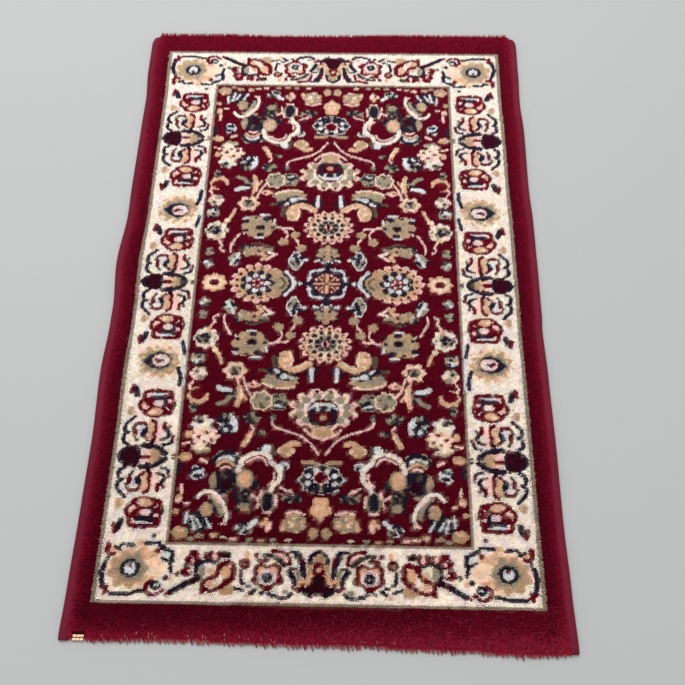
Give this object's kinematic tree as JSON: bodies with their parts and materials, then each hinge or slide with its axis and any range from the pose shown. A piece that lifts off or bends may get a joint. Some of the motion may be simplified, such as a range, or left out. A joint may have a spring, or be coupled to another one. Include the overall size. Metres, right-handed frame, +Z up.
{
  "type": "ornamental pile rug",
  "caption": "Small rectangular cut-pile rug lying flat: crimson floral field, light flowered border, overcast long sides and ragged cut ends.",
  "frame": {"origin": "under the middle of the rug, on the floor", "axes": "+Z up from the floor, +Y along the rug's length to its far end, +X to its right side"},
  "size_m": [0.6098, 0.9468, 0.0098],
  "materials": {
    "pile": "dense cut pile, matt with a soft sheen",
    "binding": "overcast yarn, smooth and slightly shiny",
    "end_pile": "loose cut pile with pale yarn ends"
  },
  "bodies": {
    "root": {"rug": "pile", "binding_left": "binding", "binding_right": "binding", "end_pile_near": "end_pile", "end_pile_far": "end_pile"}
  },
  "joints": []
}
